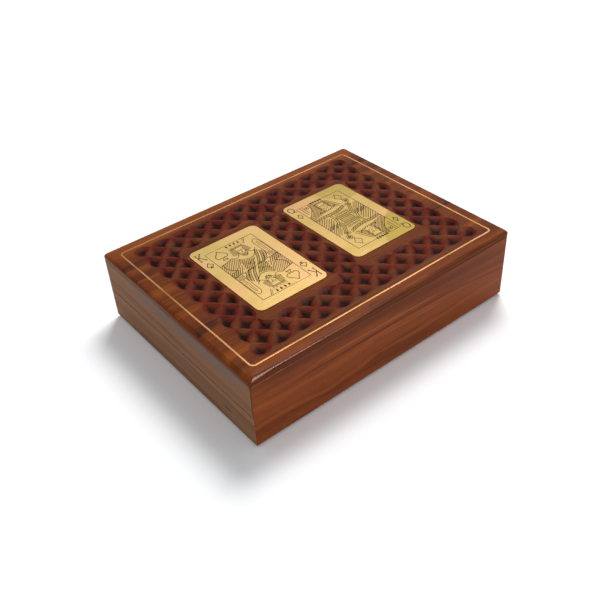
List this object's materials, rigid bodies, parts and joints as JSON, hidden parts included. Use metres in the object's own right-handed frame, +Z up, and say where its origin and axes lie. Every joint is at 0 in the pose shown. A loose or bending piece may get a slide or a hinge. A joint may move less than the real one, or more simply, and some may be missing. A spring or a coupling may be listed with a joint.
{
  "type": "playing card box",
  "caption": "Wooden box for two decks of playing cards, with a carved and brass-inlaid top and a drawer that slides out at the front.",
  "frame": {"origin": "on the table under the middle of the closed box", "axes": "+X along the length of the box, -Y towards the front that pulls out, +Z up"},
  "size_m": [0.152, 0.117, 0.0382],
  "materials": {
    "carved_rosewood": "hand carved and oiled to a satin shine",
    "rosewood": "sanded and oiled to a satin shine",
    "inner_wood": "planed and lightly oiled",
    "brass": "brushed and engraved",
    "felt": "pressed wool felt"
  },
  "bodies": {
    "case": {"top_panel": "carved_rosewood", "brass_stringing": "brass", "king_plate": "brass", "queen_plate": "brass", "back_wall": "rosewood", "drawer_stop": "inner_wood", "case_side_left": "rosewood", "case_side_right": "rosewood", "slide_rail_left": "inner_wood", "slide_rail_right": "inner_wood"},
    "drawer": {"drawer_front": "rosewood", "drawer_back": "inner_wood", "drawer_bottom": "inner_wood", "divider": "inner_wood", "drawer_side_left": "rosewood", "drawer_side_right": "rosewood", "felt_left": "felt", "felt_right": "felt"}
  },
  "joints": [
    {"name": "drawer_slide", "type": "slide", "parent": "case", "child": "drawer", "axis": [0, -1, 0], "range_m": [0, 0.08]}
  ]
}
